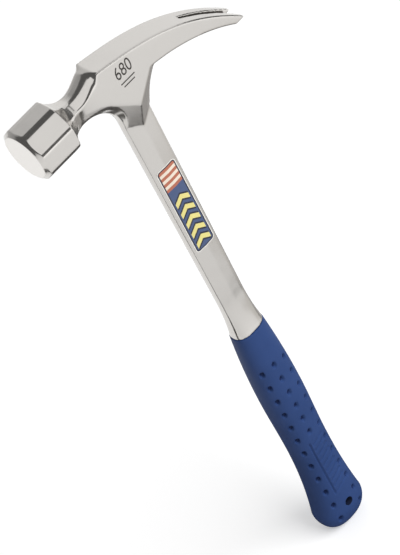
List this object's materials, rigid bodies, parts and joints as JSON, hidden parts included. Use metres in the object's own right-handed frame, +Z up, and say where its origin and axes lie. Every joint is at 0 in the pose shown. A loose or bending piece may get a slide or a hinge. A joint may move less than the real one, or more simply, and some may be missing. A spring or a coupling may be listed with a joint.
{
  "type": "framing hammer",
  "caption": "Forged steel framing hammer with a straight rip claw, an octagonal striking head and a dimpled blue moulded grip.",
  "frame": {"origin": "bottom centre of the bounding box, under the butt of the grip, with the hammer standing upright on its butt", "axes": "+Z up along the handle to the head, -X towards the striking face, +X towards the claw, -Y is the side with the label"},
  "size_m": [0.15, 0.0326, 0.406],
  "materials": {
    "steel": "polished forging with a fine satin grain",
    "grip": "moulded vinyl, matt with a soft sheen",
    "label": "thin printed film"
  },
  "bodies": {
    "root": {"forged_body": "steel", "moulded_grip": "grip", "shank_label": "label"}
  },
  "joints": []
}
